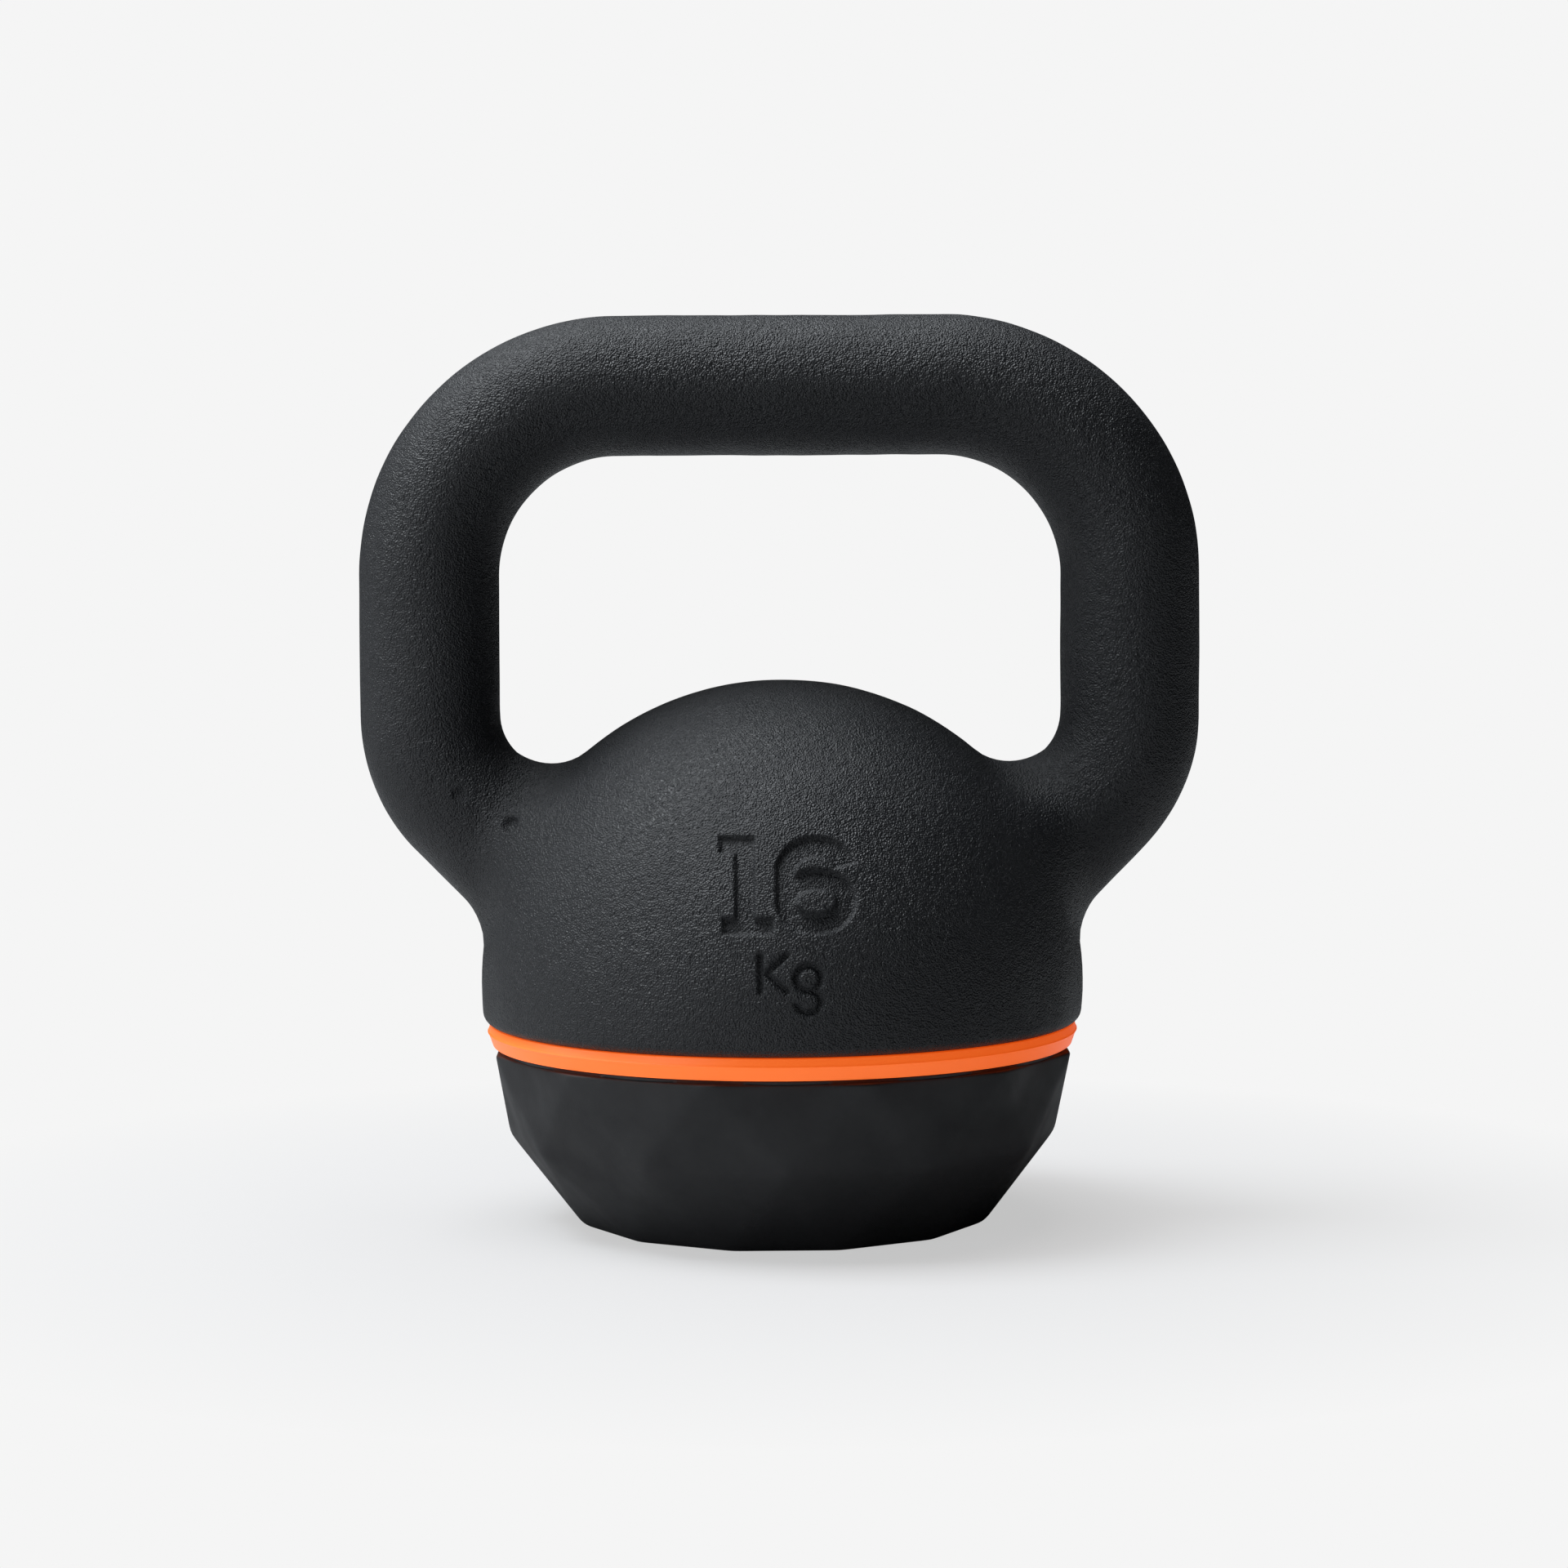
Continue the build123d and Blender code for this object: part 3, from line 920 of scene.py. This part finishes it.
class KETTLEBELL_OT_stage(bpy.types.Operator):
    """Sets up the pale floor, the studio light and the camera"""
    bl_idname = "kettlebell.stage"
    bl_label = "Studio"

    def execute(self, context):
        settings = context.scene.kettlebell_stage
        self.add_floor(context, settings)
        self.add_world(context, settings)
        self.add_lights(context)
        self.add_camera(context, settings)
        context.scene.view_settings.view_transform = "Standard"
        return {"FINISHED"}

    @staticmethod
    def add_floor(context, settings):
        """A disc just under the base, with the studio floor's material."""
        azimuths = np.linspace(0, TAU, 96, endpoint=False)
        radii = np.array([0.05, 0.2, 0.5, 1.0, 4.0])
        level = -0.05 * MM
        grid = revolved(radii, np.full(len(radii), level), azimuths)
        rows, columns = grid.shape[:2]
        vertices = np.concatenate([grid.reshape(-1, 3), [[0, 0, level]]])
        rings = strip_faces(rows, columns, False)[:, ::-1]
        middle = fan_faces(0, rows * columns, columns)
        mesh = new_mesh("floor", vertices, rings.tolist() + middle.tolist())
        floor = bpy.data.objects.new("floor", mesh)
        context.scene.collection.objects.link(floor)
        mesh.materials.append(KETTLEBELL_OT_stage.floor_material(settings))

    @staticmethod
    def floor_material(settings):
        """Matt paper that is lit beside the kettlebell and glows evenly from 270 mm out, so no horizon shows.

        It is clear from below, and to light that bounces it is a plain grey.
        """
        material = bpy.data.materials.new("studio_floor")
        material.use_nodes = True
        tree = material.node_tree
        shader = tree.nodes["Principled BSDF"]
        shader.inputs["Base Color"].default_value = (0.6, 0.6, 0.61, 1)
        shader.inputs["Roughness"].default_value = 0.9
        glow = add_node(tree, "Emission", {"Color": (*settings.floor, 1), "Strength": 1.0})
        place = add_node(tree, "TexCoord").outputs["Object"]
        distance = add_node(tree, "VectorMath", {"operation": "LENGTH"}, i0=place)
        share = add_node(
            tree, "MapRange", {"From Min": 0.07, "From Max": 0.27, "To Min": 0.59, "To Max": 1.0},
            Value=distance.outputs["Value"],
        )
        seen = add_node(
            tree, "MixShader", None, Fac=share.outputs["Result"], i1=shader.outputs["BSDF"],
            i2=glow.outputs["Emission"],
        )
        dim = add_node(tree, "BsdfDiffuse", {"Color": (0.48, 0.48, 0.48, 1)})
        path = add_node(tree, "LightPath")
        mix = add_node(
            tree, "MixShader", None, Fac=path.outputs["Is Camera Ray"], i1=dim.outputs["BSDF"],
            i2=seen.outputs["Shader"],
        )
        under = add_node(tree, "NewGeometry").outputs["Backfacing"]
        clear = add_node(tree, "BsdfTransparent")
        surface = add_node(
            tree, "MixShader", None, Fac=under, i1=mix.outputs["Shader"], i2=clear.outputs["BSDF"]
        )
        tree.links.new(surface.outputs["Shader"], tree.nodes["Material Output"].inputs["Surface"])
        return material

    @staticmethod
    def add_world(context, settings):
        """The background's colour for the camera, and a nearly dark room for light and reflections."""
        world = bpy.data.worlds.new("studio")
        context.scene.world = world
        world.use_nodes = True
        tree = world.node_tree
        room = tree.nodes["Background"]
        room.inputs["Color"].default_value = (0.9, 0.95, 1.0, 1)
        room.inputs["Strength"].default_value = 0.02
        seen = add_node(tree, "Background", {"Color": (*settings.floor, 1), "Strength": 1.0})
        path = add_node(tree, "LightPath")
        mix = add_node(
            tree, "MixShader", None, Fac=path.outputs["Is Camera Ray"], i1=room.outputs["Background"],
            i2=seen.outputs["Background"],
        )
        tree.links.new(mix.outputs["Shader"], tree.nodes["World Output"].inputs["Surface"])

    @staticmethod
    def add_lights(context):
        """Square softboxes that face the ball's top, each with its bearing, height in degrees and power."""
        softboxes = (
            ("left_high", 180, 65, 21.0),
            ("overhead", 90, 88, 4.4),
            ("left_front", 225, 10, 3.2),
            ("left_low", 180, 5, 2.8),
            ("back_high", 90, 60, 2.1),
            ("left_fill", 180, 35, 1.5),
            ("left_back", 150, 35, 1.0),
        )
        side = 0.7
        distance = 1.4
        target = Vector((0, 0, 0.12))
        for name, bearing, height, power in softboxes:
            turn, rise = math.radians(bearing), math.radians(height)
            direction = Vector(
                (math.cos(turn) * math.cos(rise), math.sin(turn) * math.cos(rise), math.sin(rise))
            )
            data = bpy.data.lights.new(name, "AREA")
            data.shape = "SQUARE"
            data.size = side
            data.energy = power
            data.color = hex_colour("#F6FBFF")
            lamp = bpy.data.objects.new(name, data)
            context.scene.collection.objects.link(lamp)
            lamp.location = target + distance * direction
            lamp.rotation_euler = (-direction).to_track_quat("-Z", "Y").to_euler()

    @staticmethod
    def add_camera(context, settings):
        """A long lens just under the grip's height, looking slightly down."""
        data = bpy.data.cameras.new("camera")
        data.sensor_width = 36
        data.lens = settings.lens
        data.clip_start = 0.01
        camera = bpy.data.objects.new("camera", data)
        context.scene.collection.objects.link(camera)
        swing = settings.swing
        right = np.array([math.cos(swing), -math.sin(swing), 0])
        back = np.array([-math.sin(swing), -math.cos(swing), 0])
        place = back * settings.distance + right * settings.sideways
        camera.location = (place[0], place[1], settings.height)
        turn = Matrix.Rotation(-swing, 4, "Z") @ Matrix.Rotation(math.pi / 2 - settings.pitch, 4, "X")
        turn = turn @ Matrix.Rotation(-settings.roll, 4, "Z")
        camera.rotation_euler = turn.to_euler()
        context.scene.camera = camera


class KETTLEBELL_PT_panel(bpy.types.Panel):
    bl_label = "Kettlebell"
    bl_space_type = "VIEW_3D"
    bl_region_type = "UI"
    bl_category = "Kettlebell"

    def draw(self, context):
        scene = context.scene
        for operator, settings in (
            (KETTLEBELL_OT_bell, scene.kettlebell_bell),
            (KETTLEBELL_OT_ring, scene.kettlebell_ring),
            (KETTLEBELL_OT_base, scene.kettlebell_base),
            (KETTLEBELL_OT_fixing, None),
            (KETTLEBELL_OT_stage, scene.kettlebell_stage),
        ):
            box = self.layout.box()
            box.operator(operator.bl_idname)
            for key in getattr(settings, "__annotations__", ()):
                box.prop(settings, key)


SETTINGS = {
    "kettlebell_bell": BellSettings,
    "kettlebell_ring": RingSettings,
    "kettlebell_base": BaseSettings,
    "kettlebell_stage": StageSettings,
}
CLASSES = (
    *SETTINGS.values(),
    KETTLEBELL_OT_bell,
    KETTLEBELL_OT_ring,
    KETTLEBELL_OT_base,
    KETTLEBELL_OT_fixing,
    KETTLEBELL_OT_stage,
    KETTLEBELL_PT_panel,
)


def register():
    for item in CLASSES:
        bpy.utils.register_class(item)
    for name, group in SETTINGS.items():
        setattr(bpy.types.Scene, name, PointerProperty(type=group))


def unregister():
    for name in SETTINGS:
        delattr(bpy.types.Scene, name)
    for item in reversed(CLASSES):
        bpy.utils.unregister_class(item)


def main():
    register()
    bpy.ops.kettlebell.stage()
    bpy.ops.kettlebell.bell()
    bpy.ops.kettlebell.ring()
    bpy.ops.kettlebell.base()
    bpy.ops.kettlebell.fixing()


if __name__ == "__main__":
    main()
